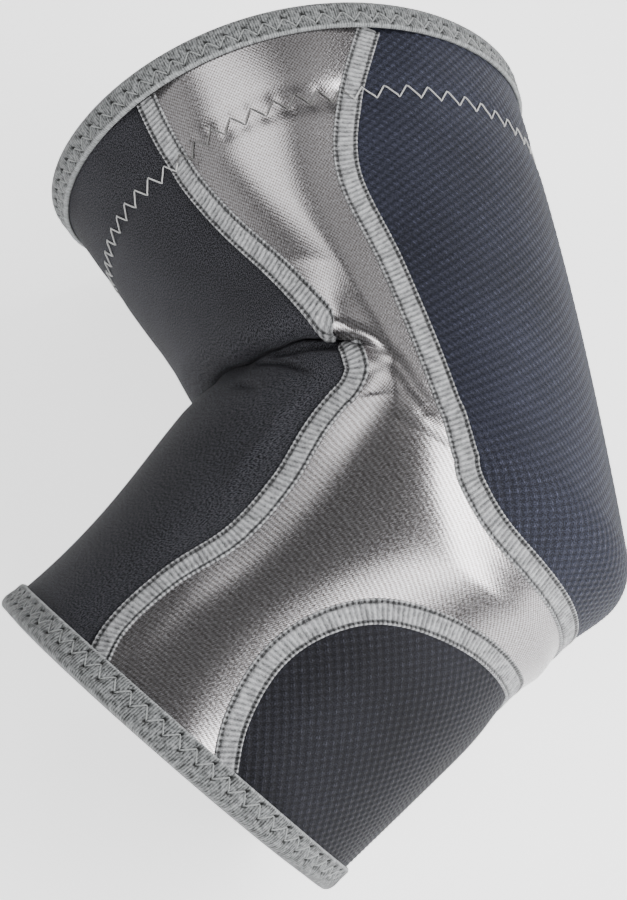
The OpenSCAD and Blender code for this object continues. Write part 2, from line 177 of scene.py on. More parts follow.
# seams by share of the length and degrees round from the back, on the outer side
seamLines = {
    "frontUpper": [(0, 127), (0.09, 128), (0.17, 127), (0.25, 122), (0.33, 112.5), (0.393, 105)],
    "frontLower": [(0.393, 105), (0.42, 102.8), (0.5, 105), (0.6, 106.5), (0.69, 104), (0.77, 104.5),
                   (0.85, 110.5), (0.93, 111), (1, 103)],
    "elbowBack": [(0, 65), (0.1, 79.5), (0.19, 87), (0.29, 84), (0.38, 81.3), (0.443, 79.6), (0.505, 77.3),
                  (0.562, 72), (0.59, 64), (0.608, 53), (0.615, 38), (0.617, 19), (0.617, 0)],
    "forearmBack": [(1, 55), (0.93, 68.5), (0.855, 74), (0.79, 70), (0.743, 58.5), (0.713, 35),
                    (0.698, 0)],
}
sewn = {name: through(line, 60) for name, line in seamLines.items()}


def mirrored(line):
    return line * np.array([1, -1])


def wholeBack(line):
    return np.vstack([line, mirrored(line)[::-1][1:]])


# lengths along and round the sleeve, in mm, for patterns and for moving along the cloth
tableSteps, tableSides = 400, 45
tableT = np.linspace(0, 1, tableSteps + 1)
tableA = np.linspace(0, 180, tableSides + 1)
tablePoints = skin(np.repeat(tableT, len(tableA)), np.tile(tableA, len(tableT)))
tablePoints = tablePoints.reshape(len(tableT), len(tableA), 3)


def lengths(axis):
    steps = np.linalg.norm(np.diff(tablePoints, axis=axis), axis=2)
    return np.insert(np.cumsum(steps, axis=axis), 0, 0, axis=axis)


tableAlong, tableRound = lengths(0), lengths(1)
girths = 2 * tableRound[[0, -1], -1]  # at the top and the bottom


def fromTable(table, t, side):
    x, y = np.clip(t, 0, 1) * tableSteps, np.clip(side, 0, 180) / (180 / tableSides)
    i, j = np.minimum(x.astype(int), tableSteps - 1), np.minimum(y.astype(int), tableSides - 1)
    u, v = x - i, y - j
    return ((table[i, j] * (1 - u) + table[i + 1, j] * u) * (1 - v)
            + (table[i, j + 1] * (1 - u) + table[i + 1, j + 1] * u) * v)


def sideOf(a):
    return np.where(a > 180, 360 - a, np.abs(a))


def alongOf(t, a):
    return fromTable(tableAlong, t, sideOf(a))


def roundOf(t, a):
    s = fromTable(tableRound, t, sideOf(a))
    return np.where(a > 180, 2 * fromTable(tableRound, t, np.full_like(s, 180)) - s, np.sign(a) * s)


def shareAt(length, a):
    # share of the sleeve where the length along it is reached, by halving
    low, high = np.zeros_like(length), np.ones_like(length)
    for _ in range(24):
        middle = (low + high) / 2
        short = alongOf(middle, a) < length
        low, high = np.where(short, middle, low), np.where(short, high, middle)
    return (low + high) / 2


# how the worn cloth lies: the fold at the crook, grooves along the seams, small creases
fold = {
    "sides": [82.5, 88, 90.5, 93, 99.5, 103, 107, 116.5, 129, 142.5, 160, 180],
    "shares": [0.5, 0.462, 0.432, 0.42, 0.41, 0.408, 0.41, 0.42, 0.446, 0.495, 0.5, 0.5],
    "from": 92, "full": 105, "early": 4.4,
    "cloth": [-16, -10, -5.5, -2.6, -0.8, 0.6, 2.2, 4.5, 8, 13, 18],
    "along": [-16, -9.3, -3.9, -0.2, 2.0, 1.9, 0.5, 2.2, 6.8, 12.7, 18],
    "lift": [0, 0.8, 2.0, 2.5, 1.1, -2.2, -5.2, -3.6, -1.1, -0.1, 0],
    "dent": 2.2, "dentFrom": 116, "dentOver": 26, "dentReach": 15,
    "tip": 0.9, "tipFrom": 15, "tipOver": 45, "tipShare": 0.52, "tipReach": 0.13,
    "steps": 200,
}
foldAlong = through(list(zip(fold["cloth"], fold["along"])), fold["steps"])
foldLift = through(list(zip(fold["cloth"], fold["lift"])), fold["steps"])
seamGroove = {"depth": 1.8, "satin": 7.5, "plain": 9.0, "narrow": 0.35, "narrowReach": 1.8, "steps": 240}
creaseZone = {"shares": (0.37, 0.8), "sides": (74, 150), "steps": 60, "ends": 0.02}
creases = [
    # share and degrees along each line, then its height and half width in mm
    ([(0.464, 130), (0.44, 121), (0.425, 113), (0.418, 106)], -1.9, 1.0),
    ([(0.495, 137), (0.495, 127.5), (0.506, 121), (0.51, 116)], -1.6, 1.0),
    ([(0.573, 139), (0.575, 132.5), (0.578, 127.5)], -1.3, 0.9),
    ([(0.532, 115), (0.585, 115), (0.605, 117), (0.64, 115), (0.667, 116), (0.693, 116), (0.723, 114.5),
      (0.748, 111.5)], 0.6, 1.6),
    ([(0.4, 98), (0.415, 92), (0.455, 88), (0.505, 84)], -0.7, 1.8),
    ([(0.425, 95), (0.463, 90.5), (0.505, 86)], 0.3, 2.8),
    ([(0.46, 101), (0.49, 99.5), (0.52, 98.5)], 0.5, 3.5),
]
gripLine = {"distance": 23.4, "groove": 0.5, "valley": 3.5, "pucker": 0.22, "puckerReach": 1.2,
            "stitches": 64, "swing": 3.3}


def treeOf(points):
    tree = KDTree(len(points))
    for i, p in enumerate(points):
        tree.insert(p, i)
    tree.balance()
    return tree


seamTree = treeOf(np.vstack([skin(*(through(line, seamGroove["steps"]) * np.array([1, side])).T)
                             for line in seamLines.values() for side in (1, -1)]))
creaseTrees = [treeOf(skin(*through(line, creaseZone["steps"]).T)) for line, height, half in creases]


def seamDistance(t, a):
    return np.array([seamTree.find(p)[2] for p in skin(t, a)])


def creaseLift(t, side):
    # height of the creases, which die away at their ends
    up = np.zeros_like(t)
    (lowShare, highShare), (lowSide, highSide) = creaseZone["shares"], creaseZone["sides"]
    close = np.flatnonzero((t > lowShare) & (t < highShare) & (side > lowSide) & (side < highSide))
    if len(close) == 0:
        return up
    spots = skin(t[close], side[close])
    for tree, (line, height, half) in zip(creaseTrees, creases):
        found = [tree.find(p) for p in spots]
        d = np.array([f[2] for f in found])
        at = np.array([f[1] for f in found]) / creaseZone["steps"]
        at = np.clip(at, creaseZone["ends"], 1 - creaseZone["ends"])
        up[close] += height * np.sin(at * math.pi) ** 0.5 * bell(d, half)
    return up


def clothPoint(t, a, gap=None, reach=None, puckers=0.0, lift=0.0):
    # outer face of the worn cloth, gap being the distance from the nearest seam
    t, a = np.asarray(t, float), np.asarray(a, float)
    side = sideOf(a)
    share = ease((side - fold["from"]) / (fold["full"] - fold["from"]))
    length = alongOf(t, a)
    foldPlace = alongOf(np.interp(side, fold["sides"], fold["shares"]), a)
    x = length - foldPlace + fold["early"]
    near = np.clip(x, fold["cloth"][0], fold["cloth"][-1])
    moved = np.interp(near, *foldAlong.T) - near
    inner = (t > 0) & (t < 1)
    tt = np.where(inner, shareAt(length + moved * share, a), t)
    dent = ease((side - fold["dentFrom"]) / fold["dentOver"]) * bell(x, fold["dentReach"])
    tip = 1 - ease((side - fold["tipFrom"]) / fold["tipOver"])
    tip = tip * bell(t - fold["tipShare"], fold["tipReach"])
    up = np.interp(near, *foldLift.T) * share - fold["dent"] * dent + fold["tip"] * tip
    if gap is None:
        gap = seamDistance(t, a)
    if reach is None:
        reach = seamGroove["plain"]
    up = up - seamGroove["depth"] * bell(gap, reach)
    up = up - seamGroove["narrow"] * bell(gap, seamGroove["narrowReach"])
    up = up + creaseLift(t, side)
    off = length - gripLine["distance"]
    up = up - gripLine["groove"] * bell(off, gripLine["valley"])
    if np.any(puckers):
        # the cloth dips where each stitch goes in
        wave = np.cos(a / 360 * gripLine["stitches"] * 2 * math.pi) / 2
        swing, spot = gripLine["swing"] / 2, gripLine["puckerReach"]
        up = up - puckers * (0.5 + wave) ** 3 * bell(off - swing, spot)
        up = up - puckers * (0.5 - wave) ** 3 * bell(off + swing, spot)
    return skin(tt, a, up + lift)


def clothNormal(t, a, **kind):
    dt, da = 0.001, 0.3
    along = clothPoint(t + dt, a, **kind) - clothPoint(t - dt, a, **kind)
    across = clothPoint(t, a + da, **kind) - clothPoint(t, a - da, **kind)
    return unit(np.cross(across, along))


print("cloth laid out, girths", girths.round(1), "mm")


class Wire:
    # a socket that takes part in sums

    def __init__(self, tree, socket):
        self.tree = tree
        self.socket = socket

    def work(self, operation, *values):
        node = self.tree.nodes.new("ShaderNodeMath")
        node.operation = operation
        for place, value in zip(node.inputs, values):
            feed(self.tree, place, value)
        return Wire(self.tree, node.outputs[0])

    def __add__(self, other):
        return self.work("ADD", self, other)

    def __radd__(self, other):
        return self.work("ADD", other, self)

    def __sub__(self, other):
        return self.work("SUBTRACT", self, other)

    def __rsub__(self, other):
        return self.work("SUBTRACT", other, self)

    def __mul__(self, other):
        return self.work("MULTIPLY", self, other)

    def __rmul__(self, other):
        return self.work("MULTIPLY", other, self)

    def __truediv__(self, other):
        return self.work("DIVIDE", self, other)

    def __rtruediv__(self, other):
        return self.work("DIVIDE", other, self)

    def __pow__(self, other):
        return self.work("POWER", self, other)

    def __abs__(self):
        return self.work("ABSOLUTE", self)

    def cos(self):
        return self.work("COSINE", self)

    def held(self):
        return self.work("MINIMUM", self.work("MAXIMUM", self, 0.0), 1.0)

    def over(self, low, high):
        # 0 below low, 1 above high, smooth between
        node = self.tree.nodes.new("ShaderNodeMapRange")
        node.interpolation_type = "SMOOTHSTEP"
        feed(self.tree, node.inputs["Value"], self)
        node.inputs["From Min"].default_value = low
        node.inputs["From Max"].default_value = high
        return Wire(self.tree, node.outputs[0])

    def fold(self, pitch):
        # distance from the nearest multiple of pitch
        return self.work("PINGPONG", self, pitch / 2)

    def ribs(self, pitch):
        # 0 at each multiple of pitch, 1 half way between
        return self.fold(pitch) / (pitch / 2)


def feed(tree, socket, value):
    if isinstance(value, Wire):
        tree.links.new(value.socket, socket)
    elif hasattr(socket, "default_value"):
        if hasattr(value, "__len__") and len(value) == 3 and len(socket.default_value) == 4:
            value = (*value, 1.0)
        socket.default_value = value


class Finish:
    # a material with one principled shader

    def __init__(self, name, **constants):
        self.material = bpy.data.materials.new(name)
        self.material.use_nodes = True
        self.tree = self.material.node_tree
        self.shader = next(n for n in self.tree.nodes if n.type == "BSDF_PRINCIPLED")
        for key, value in constants.items():
            feed(self.tree, self.shader.inputs[key.replace("_", " ")], value)

    def node(self, kind, settings=None, links=None, out=0):
        made = self.tree.nodes.new(kind)
        for key, value in (settings or {}).items():
            setattr(made, key, value)
        for key, value in (links or {}).items():
            feed(self.tree, made.inputs[key], value)
        return Wire(self.tree, made.outputs[out])

    def place(self):
        return self.node("ShaderNodeTexCoord", out="Object")

    def laid(self):
        # mm along u and v of the piece's own map
        uv = self.node("ShaderNodeUVMap", {"uv_map": "cloth"})
        u = self.node("ShaderNodeSeparateXYZ", None, {0: uv})
        v = Wire(self.tree, u.socket.node.outputs[1])
        return u * (1 / mapScale), v * (1 / mapScale)

    def vector(self, x, y):
        return self.node("ShaderNodeCombineXYZ", None, {"X": x, "Y": y})

    def noise(self, where, scale, detail=3.0, roughness=0.55):
        return self.node("ShaderNodeTexNoise", None,
                         {"Vector": where, "Scale": scale, "Detail": detail, "Roughness": roughness})

    def mixed(self, factor, a, b):
        return self.node("ShaderNodeMix", {"data_type": "RGBA"}, {0: factor, 6: a, 7: b}, out=2)

    def bump(self, height, distance, strength):
        links = {"Height": height, "Distance": distance, "Strength": strength}
        return self.node("ShaderNodeBump", None, links)

    def give(self, **wires):
        for key, value in wires.items():
            feed(self.tree, self.shader.inputs[key.replace("_", " ")], value)
        return self.material

    def cloth(self, colour, roughness, height, look):
        # a cloth or thread with its relief
        relief = self.bump(height, look["bump"], look["strength"])
        return self.give(Base_Color=colour, Roughness=roughness, Normal=relief)


def checked(u, v, pitchU, pitchV):
    # raised and sunk cells in turn, from 0 to 1
    return (u * (2 * math.pi / pitchU)).cos() * (v * (2 * math.pi / pitchV)).cos() * 0.5 + 0.5


def blackKnit():
    look = {"base": (0.0025, 0.0025, 0.003), "lit": (0.066, 0.0665, 0.077), "wale": 0.52, "loop": 0.6,
            "wander": 0.8, "grain": 3.4, "cloud": 40.0, "bump": 0.00014, "strength": 0.7}
    finish = Finish("blackKnit", Sheen_Weight=0.01, Sheen_Roughness=0.4, Specular_IOR_Level=0.06)
    u, v = finish.laid()
    wander = finish.noise(finish.vector(u, v), 0.3, 2.0)
    wale = (u + wander * look["wander"]).ribs(look["wale"])
    loop = v.ribs(look["loop"])
    grain = finish.noise(finish.vector(u, v), look["grain"], 2.0, 0.8).over(0.36, 0.66)
    cloud = finish.noise(finish.place(), look["cloud"], 2.0)
    lit = (wale * 0.2 + grain * 1.1 + cloud * 0.4 - 0.45).held()
    colour = finish.mixed(lit, look["base"], look["lit"])
    height = wale * 0.6 + loop * 0.3 + grain * 0.6
    return finish.cloth(colour, 0.6 + grain * 0.2, height, look)


def satinKnit():
    look = {"base": (0.08, 0.062, 0.05), "lit": (0.605, 0.6, 0.63), "wale": 0.84, "course": 0.9,
            "wander": 0.5, "bump": 0.0001, "strength": 0.18}
    finish = Finish("satinKnit", Metallic=0.93, Specular_IOR_Level=0.5)
    u, v = finish.laid()
    wander = finish.noise(finish.vector(u, v), 0.3, 2.0)
    weave = checked(u + wander * look["wander"], v, look["wale"], look["course"])
    grain = finish.noise(finish.vector(u * 2.6, v * 1.6), 0.9, 2.0, 0.7).over(0.32, 0.68)
    spark = finish.noise(finish.vector(u * 2.0, v * 2.0), 1.1, 1.0).over(0.6, 0.72)
    lit = (weave * 0.55 + grain * 0.22 + spark * 0.25).held()
    colour = finish.mixed(lit, look["base"], look["lit"])
    height = weave * 0.9 + grain * 0.35
    return finish.cloth(colour, (0.21 + grain * 0.09).held(), height, look)


# girth is where the columns of cells are counted, side how far round they go
waffle = {"pitch": 2.4, "relief": 0.28, "steps": 4, "girth": 302, "side": 90, "elbowEnd": 0.63,
          "forearmStart": 0.685, "clear": 1.8, "fade": 2.5, "edgeFade": 20}


def waffleKnit(name, base, lit):
    look = {"dash": 1.35, "broad": 30.0, "bump": 0.0002, "strength": 0.6}
    finish = Finish(name, Sheen_Weight=0.05, Sheen_Roughness=0.4, Specular_IOR_Level=0.18)
    u, v = finish.laid()
    cell = checked(u, v, waffle["pitch"], waffle["pitch"])
    grain = finish.noise(finish.vector(u * 2.6, v * 2.6), 1.2, 2.0, 0.7).over(0.3, 0.7)
    dash = ((u + v) * look["dash"]).fold(1.0).over(0.2, 0.42) * cell.over(0.45, 0.85)
    fibre = finish.noise(finish.vector(u * 0.8, v * 0.8), 1.2, 2.0, 0.6).over(0.45, 0.7)
    broad = finish.noise(finish.place(), look["broad"], 2.0)
    # the fibre dots on the dashes are lightened in colour as painted glints; the lower roughness below gives
    # them real shine
    light = (cell * 0.2 + grain * 0.5 + dash * fibre * 0.5 + broad * 0.35 - 0.41).held()
    height = cell * 1.0 + grain * 0.3 + dash * 0.4
    roughness = (0.62 + grain * 0.15 - dash * fibre * 0.25).held()
    return finish.cloth(finish.mixed(light, base, lit), roughness, height, look)


def liningKnit():
    look = {"base": (0.02, 0.021, 0.024), "lit": (0.06, 0.062, 0.068), "rib": 0.9,
            "bump": 0.0002, "strength": 0.6}
    finish = Finish("liningKnit", Sheen_Weight=0.3)
    u, v = finish.laid()
    rib = u.ribs(look["rib"])
    grain = finish.noise(finish.vector(u * 1.5, v * 1.5), 1.4, 3.0)
    colour = finish.mixed((rib * 0.4 + grain * 0.8 - 0.3).held(), look["base"], look["lit"])
    return finish.cloth(colour, 0.7 + grain * 0.2, rib + grain, look)


# the cover stitch across, from its middle: ladder, dots of the needle holes, ridge and half width, in mm
seamLook = {"half": 2.85, "ladder": 1.6, "rung": 1.14, "rise": 0.55, "bed": 0.22, "dots": 2.08,
            "ridge": 2.5, "lean": 0.12, "sunk": 0.6, "under": 0.3, "roundStart": 2.2, "roundEnd": 3.0,
            "smooth": 8, "topColumns": 27, "underColumns": 6, "upperEnd": 0.382, "lowerStart": 0.399}


def seamThread():
    look = {"dark": (0.003, 0.003, 0.0035), "mid": (0.02, 0.0205, 0.022), "pale": (0.56, 0.567, 0.58),
            "bump": 0.0002, "strength": 0.7}
    finish = Finish("seamThread", Sheen_Weight=0.1, Specular_IOR_Level=0.4)
    u, v = finish.laid()
    pitch = seamLook["rung"]
    off = abs(u)
    lean = v + u * seamLook["lean"]
    rung = 1 - lean.ribs(pitch)
    fibre = finish.noise(finish.vector(u * 1.2, v * 4.0), 1.5, 2.0, 0.7).over(0.3, 0.7)
    blotch = finish.noise(finish.vector(u * 0.5, v * 0.5), 1.0, 2.0).over(0.35, 0.65)
    ladder = 1 - off.over(seamLook["ladder"] - 0.1, seamLook["ladder"] + 0.2)
    dotAcross = 1 - abs(off - seamLook["dots"]).over(0.16, 0.36)
    dot = dotAcross * (1 - (lean + pitch / 2).fold(pitch).over(0.16, 0.34))
    stitch = off.over(seamLook["dots"] + 0.1, seamLook["ridge"])
    # the rungs are pale and the gaps between them are darkened as painted shade
    light = ladder * (0.14 + rung * 0.4) + (1 - ladder) * (0.02 + stitch * rung * 0.6)
    light = light + fibre * 0.35 + blotch * 0.25 - 0.2
    colour = finish.mixed(light.held(), look["mid"], look["pale"])
    colour = finish.mixed(dot.held(), colour, look["dark"])
    height = rung * 0.8 + fibre * 0.5 - dot
    return finish.cloth(colour, 0.5 + fibre * 0.25, height, look)


# the tape over the edges, in mm; near and far are its stitches' ends, from the tape's own edge
bandLook = {"width": 7.0, "tape": 0.95, "gap": 0.25, "pitch": 4.1, "near": 1.5, "far": 4.0, "rib": 0.55,
            "shoulder": 0.8, "slope": 0.7, "press": 0.38, "pressReach": 0.75, "hole": 0.35, "holeSpread": 0.2,
            "swell": 0.12, "swellReach": 1.5, "stitchSteps": 10}
rims = (1.3, 1.4)  # how far the fold lies inside the top and the bottom edge


def bindingTape():
    look = {"dark": (0.002, 0.002, 0.002), "base": (0.02, 0.021, 0.021), "lit": (0.35, 0.363, 0.368),
            "bump": 0.00022, "strength": 0.8}
    finish = Finish("bindingTape", Sheen_Weight=0.1, Specular_IOR_Level=0.3)
    u, v = finish.laid()
    width, pitch = bandLook["width"], bandLook["pitch"]
    rib = u.ribs(bandLook["rib"])
    grain = finish.noise(finish.vector(u * 1.8, v * 1.1), 0.9, 2.0, 0.75).over(0.35, 0.65)
    fleck = finish.noise(finish.vector(u * 0.8, v * 0.8), 1.1, 2.0, 0.6).over(0.35, 0.68)
    rows = []
    for distance, shift in ((width - bandLook["near"], 0.0), (width - bandLook["far"], 0.5)):
        along = (u + (v - distance) * 0.5 + shift * pitch).fold(pitch)
        across = abs(v - distance) * 0.7
        rows.append(1 - ((along * along + across * across) ** 0.5).over(0.22, 0.7))
    hole = (rows[0] + rows[1]).held()
    edge = v.over(width - 0.7, width - 0.3)
    light = (rib * 0.35 + grain * 0.3 + fleck * 0.3 - 0.16 + edge * 0.3).held()
    colour = finish.mixed(light, look["base"], look["lit"])
    colour = finish.mixed(hole, colour, look["dark"])
    height = rib * 0.7 + grain * 0.6 - hole
    return finish.cloth(colour, 0.68 + grain * 0.2, height, look)


def sewingThread(name, pale, dark):
    finish = Finish(name, Sheen_Weight=0.2, Specular_IOR_Level=0.45)
    u, v = finish.laid()
    look = {"bump": 0.0001, "strength": 0.5}
    ply = (u * 2.0 + v * 4.0).fold(1.0) * 2
    fibre = finish.noise(finish.vector(u * 4.0, v * 8.0), 1.2, 2.0)
    colour = finish.mixed((ply * 0.6 + fibre * 0.5 - 0.1).held(), dark, pale)
    return finish.cloth(colour, 0.45 + fibre * 0.3, ply, look)


def gripElastic():
    look = {"base": (0.028, 0.03, 0.034), "lit": (0.085, 0.088, 0.095), "rib": 1.6, "weave": 0.7,
            "bump": 0.0003, "strength": 0.6}
    finish = Finish("gripElastic", Specular_IOR_Level=0.5)
    u, v = finish.laid()
    rib = v.ribs(look["rib"])
    weave = u.ribs(look["weave"])
    grain = finish.noise(finish.vector(u * 2.0, v * 2.0), 1.3, 3.0)
    colour = finish.mixed((rib * 0.5 + weave * 0.2 + grain * 0.5 - 0.25).held(), look["base"], look["lit"])
    return finish.cloth(colour, 0.6 + grain * 0.15, rib + weave * 0.4, look)


def paleFloor():
    look = {"base": (0.86, 0.86, 0.86), "lit": (0.9, 0.9, 0.9), "cloud": 6.0}
    finish = Finish("paleFloor", Roughness=0.9, Specular_IOR_Level=0.2, Emission_Color=(1, 1, 1),
                    Emission_Strength=1.5)
    cloud = finish.noise(finish.place(), look["cloud"], 2.0)
    return finish.give(Base_Color=finish.mixed(cloud, look["base"], look["lit"]))


finishes = {
    "black": blackKnit(),
    "satin": satinKnit(),
    "waffle": waffleKnit("waffleKnit", (0.004, 0.0045, 0.008), (0.075, 0.082, 0.132)),
    "forearm": waffleKnit("forearmWaffle", (0.002, 0.0021, 0.0032), (0.039, 0.0403, 0.057)),
    "lining": liningKnit(),
    "seam": seamThread(),
    "tape": bindingTape(),
    "grip": gripElastic(),
    "floor": paleFloor(),
    "white": sewingThread("whiteThread", (0.62, 0.62, 0.61), (0.3, 0.3, 0.3)),
    "grey": sewingThread("greyThread", (0.42, 0.435, 0.435), (0.1, 0.105, 0.105)),
    # the white grip thread again, darkened: painted shade of the puckers and slits where it crosses the satin
    "shadedWhite": sewingThread("shadedWhiteThread", (0.2, 0.195, 0.19), (0.025, 0.025, 0.025)),
}
print("finishes ready:", len(finishes))


def gridPlaces(bm, columns, rows):
    # column and row of each point of a grid that is still unmoved
    place = np.array([v.co.xy for v in bm.verts])
    return tuple(np.rint((place[:, k] + 1) / 2 * n).astype(int) for k, n in enumerate((columns, rows)))


def newGrid(columns, rows):
    bm = bmesh.new()
    bmesh.ops.create_grid(bm, x_segments=columns, y_segments=rows, size=1)
    return (bm, *gridPlaces(bm, columns, rows))


def makePiece(name, bm, points, uv, outward, materials, weld=1e-6, cap=False):
    # points and map in mm and outward ways, by vertex of the grid; weld in metres
    bm.verts.index_update()
    layer = bm.loops.layers.uv.new("cloth")
    for v in bm.verts:
        v.co = points[v.index] * mm
    for f in bm.faces:
        for corner in f.loops:
            corner[layer].uv = uv[corner.vert.index] * mapScale
    bm.normal_update()
    if sum(f.normal.dot(outward[f.verts[0].index]) * f.calc_area() for f in bm.faces) < 0:
        bmesh.ops.reverse_faces(bm, faces=bm.faces[:])
    bmesh.ops.remove_doubles(bm, verts=bm.verts[:], dist=weld)
    if cap:
        bmesh.ops.holes_fill(bm, edges=[e for e in bm.edges if e.is_boundary], sides=0)
    mesh = bpy.data.meshes.new(name)
    bm.to_mesh(mesh)
    bm.free()
    for material in materials:
        mesh.materials.append(material)
    mesh.shade_smooth()
    piece = bpy.data.objects.new(name, mesh)
    bpy.context.collection.objects.link(piece)
    return piece


edgeSpan = 0.02  # share of the length that is measured at an edge


def fromEdge(edge, a, d):
    # share of the length at d mm from an edge
    near = edgeSpan if edge == 0 else 1 - edgeSpan
    a = np.asarray(a, float)
    gap = np.linalg.norm(skin(np.full_like(a, near), a) - skin(np.full_like(a, float(edge)), a), axis=1)
    return edge + (near - edge) * d / gap


def outwardAt(t, a):
    return unit(skin(t, a, 1.0) - skin(t, a, 0.0))


def toOutline(points, line):
    # inside or not, and the distance from a closed line
    inside = np.zeros(len(points), bool)
    best = np.full(len(points), np.inf)
    for p, q in zip(line, np.roll(line, -1, axis=0)):
        d = q - p
        if d @ d < 1e-12:
            continue
        crosses = (p[1] > points[:, 1]) != (q[1] > points[:, 1])
        if d[1] != 0:
            inside ^= crosses & (points[:, 0] < p[0] + (points[:, 1] - p[1]) * d[0] / d[1])
        u = np.clip(((points - p) @ d) / (d @ d), 0, 1)[:, None]
        best = np.minimum(best, np.linalg.norm(points - p - u * d, axis=1))
    return inside, best


# flatScale is mm for a whole share and for a degree, for trimming only
panels = {"wall": 2.6, "weld": 2e-5, "flatScale": np.array([195.0, 0.86]), "overlap": 0.5, "rimGap": 0.1}
wall = panels["wall"]


def cutPanel(name, outline, shares, degrees, reach, materials, knit=None, puckers=0.0):
    # a grid laid on the sleeve and trimmed to its seams and the bindings' rims
    columns, rows = len(degrees) - 1, len(shares) - 1
    bm, column, row = newGrid(columns, rows)
    t, a = shares[row], degrees[column]
    inside, gap = toOutline(np.column_stack([t, a]) * panels["flatScale"], outline * panels["flatScale"])
    inside |= gap < panels["overlap"]
    top, bottom = (fromEdge(edge, a, rims[edge] + panels["rimGap"]) for edge in (0, 1))
    inside &= (t > top) & (t < bottom)
    bm.verts.index_update()
    outer = [f for f in bm.faces if not all(inside[v.index] for v in f.verts)]
    bmesh.ops.delete(bm, geom=outer, context="FACES")
    column, row = gridPlaces(bm, columns, rows)
    t, a = shares[row], degrees[column]
    gaps = seamDistance(t, a)
    points = clothPoint(t, a, gap=gaps, reach=reach, puckers=puckers)
    outward = outwardAt(t, a)
    if knit is None:
        uv = np.column_stack([roundOf(t, a), alongOf(t, a)])
    else:
        uv = np.column_stack([column, row]) * knit["pitch"] / knit["steps"]
        turn = 2 * math.pi / knit["pitch"]
        bumps = np.cos(uv[:, 0] * turn) * np.cos(uv[:, 1] * turn) * knit["relief"] / 2
        bumps = bumps * ease((gaps - knit["clear"]) / knit["fade"])
        bumps = bumps * ease(t * knit["edgeFade"]) * ease((1 - t) * knit["edgeFade"])
        points = points + outward * bumps[:, None]
    piece = makePiece(name, bm, points, uv, outward, materials, panels["weld"])
    shell = piece.modifiers.new("wall", "SOLIDIFY")
    shell.thickness = wall * mm
    shell.offset = -1
    shell.material_offset = 1
    shell.material_offset_rim = 0
    return piece


def closerAt(places, counts):
    # shares of the length from place to place, each stretch with its own count
    return np.unique(np.concatenate([np.linspace(*ends) for ends in zip(places, places[1:], counts)]))


def evenShares(low, high, step):
    # shares of the length that are evenly spaced along the back
    backAlong = tableAlong[:, 0]
    start, end = np.interp([low, high], tableT, backAlong)
    n = int(round((end - start) / step))
    return np.interp(np.linspace(start, end, n + 1), backAlong, tableT)


# front panel, from seam to seam over the front
front = {"places": (0, 0.39, 0.56, 1), "counts": (78, 150, 84), "degrees": (98, 262, 165)}
left = np.vstack([sewn["frontUpper"], sewn["frontLower"][1:]])
frontOutline = np.vstack([left, (np.array([0, 360]) + mirrored(left))[::-1]])
frontPanel = cutPanel("frontPanel", frontOutline, closerAt(front["places"], front["counts"]),
                      np.linspace(*front["degrees"]), seamGroove["plain"],
                      [finishes["black"], finishes["lining"]])
print("front panel", len(frontPanel.data.polygons))

# satin panel, down both sides and round the back below the elbow tip; corner is between its two lower seams
satin = {"places": (0, 0.38, 0.58, 1), "counts": (84, 96, 84), "degrees": (-130, 130, 301),
         "corner": np.array([[1, 79]])}
backTop, backLow = sewn["elbowBack"], sewn["forearmBack"]
satinOutline = np.vstack([left, satin["corner"], wholeBack(backLow), mirrored(satin["corner"]),
                          mirrored(left)[::-1], mirrored(backTop), backTop[::-1][1:]])
satinPanel = cutPanel("satinPanel", satinOutline, closerAt(satin["places"], satin["counts"]),
                      np.linspace(*satin["degrees"]), seamGroove["satin"],
                      [finishes["satin"], finishes["lining"]], puckers=gripLine["pucker"])
print("satin panel", len(satinPanel.data.polygons))

# waffle panels over the back
cellStep = waffle["pitch"] / waffle["steps"]
cellTurn = 360 * waffle["pitch"] / waffle["girth"] / waffle["steps"]
cellCount = int(waffle["side"] / cellTurn)
waffleDegrees = np.arange(-cellCount, cellCount + 1) * cellTurn
elbowShares = evenShares(0, waffle["elbowEnd"], cellStep)
elbowBackPanel = cutPanel("elbowBackPanel", wholeBack(backTop), elbowShares, waffleDegrees,
                          seamGroove["plain"], [finishes["waffle"], finishes["lining"]], knit=waffle)
forearmShares = evenShares(waffle["forearmStart"], 1, cellStep)
forearmBackPanel = cutPanel("forearmBackPanel", wholeBack(backLow), forearmShares, waffleDegrees,
                            seamGroove["plain"], [finishes["forearm"], finishes["lining"]], knit=waffle)
print("waffle panels", len(elbowBackPanel.data.polygons), len(forearmBackPanel.data.polygons))


def evenPath(line, step):
    # a line on the cloth cut into even steps of about step mm
    length = running(skin(*line.T))
    n = max(4, int(round(length[-1] / step)))
    at = np.linspace(0, length[-1], n + 1)
    return np.column_stack([np.interp(at, length, line[:, k]) for k in (0, 1)]), at


def onSkin(points, t, a):
    # share and degrees of the place on the sleeve nearest to each point
    stepT, stepA, mostT, mostA = 1e-4, 0.05, 0.01, 2
    for _ in range(5):
        p = skin(t, a)
        dt, da = (skin(t + stepT, a) - p) / stepT, (skin(t, a + stepA) - p) / stepA
        e, f, g = (dt * dt).sum(1), (dt * da).sum(1), (da * da).sum(1)
        x, y = ((points - p) * dt).sum(1), ((points - p) * da).sum(1)
        t = t + np.clip((g * x - f * y) / (e * g - f * f), -mostT, mostT)
        a = a + np.clip((e * y - f * x) / (e * g - f * f), -mostA, mostA)
    return t, a


def smoothed(rows, reach):
    # each row's mean with the rows within reach of it
    padded = np.vstack([rows[:1]] * reach + [rows] + [rows[-1:]] * reach)
    total = np.cumsum(np.vstack([np.zeros((1, rows.shape[1])), padded]), axis=0)
    return (total[2 * reach + 1:] - total[:-2 * reach - 1]) / (2 * reach + 1)


